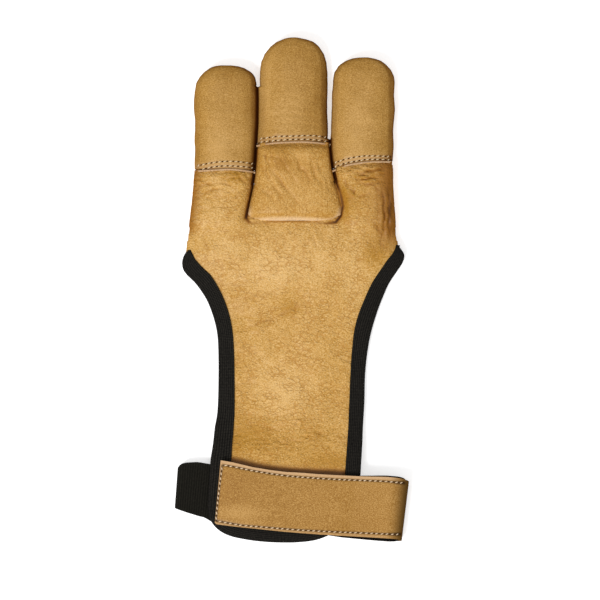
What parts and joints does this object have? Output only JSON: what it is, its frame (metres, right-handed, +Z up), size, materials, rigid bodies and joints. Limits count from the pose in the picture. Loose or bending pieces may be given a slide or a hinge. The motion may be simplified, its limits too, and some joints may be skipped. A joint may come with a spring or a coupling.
{
  "type": "archery glove",
  "caption": "Right-hand three-finger shooting glove: leather fingertip stalls, an hourglass panel down the back of the hand, black edge binding and an elastic wrist strap.",
  "frame": {"origin": "middle of the bottom of the bounding box, on the surface that the glove lies on", "axes": "+X across the hand from the index finger to the ring finger, +Y from the wrist to the fingertips, +Z up, out of the back of the hand"},
  "size_m": [0.1089, 0.2358, 0.0141],
  "materials": {
    "panel_leather": "tan deerskin with a fine pebble grain, matt",
    "front_leather": "the same tan deerskin",
    "inset_leather": "tan leather, a little darker",
    "stall_leather": "thicker, smoother brown-tan leather, low sheen",
    "strap_leather": "smooth brown-tan leather",
    "binding_tape": "black woven binding tape",
    "strap_lining": "black looped lining",
    "elastic": "black ribbed elastic"
  },
  "bodies": {
    "root": {"back_panel": "panel_leather", "finger_fronts": "front_leather", "middle_finger_inset": "inset_leather", "index_stall": "stall_leather", "middle_stall": "stall_leather", "ring_stall": "stall_leather", "edge_binding": "binding_tape", "opening_binding": "binding_tape", "wrist_strap": "strap_leather", "strap_lining": "strap_lining", "wrist_elastic": "elastic"}
  },
  "joints": []
}
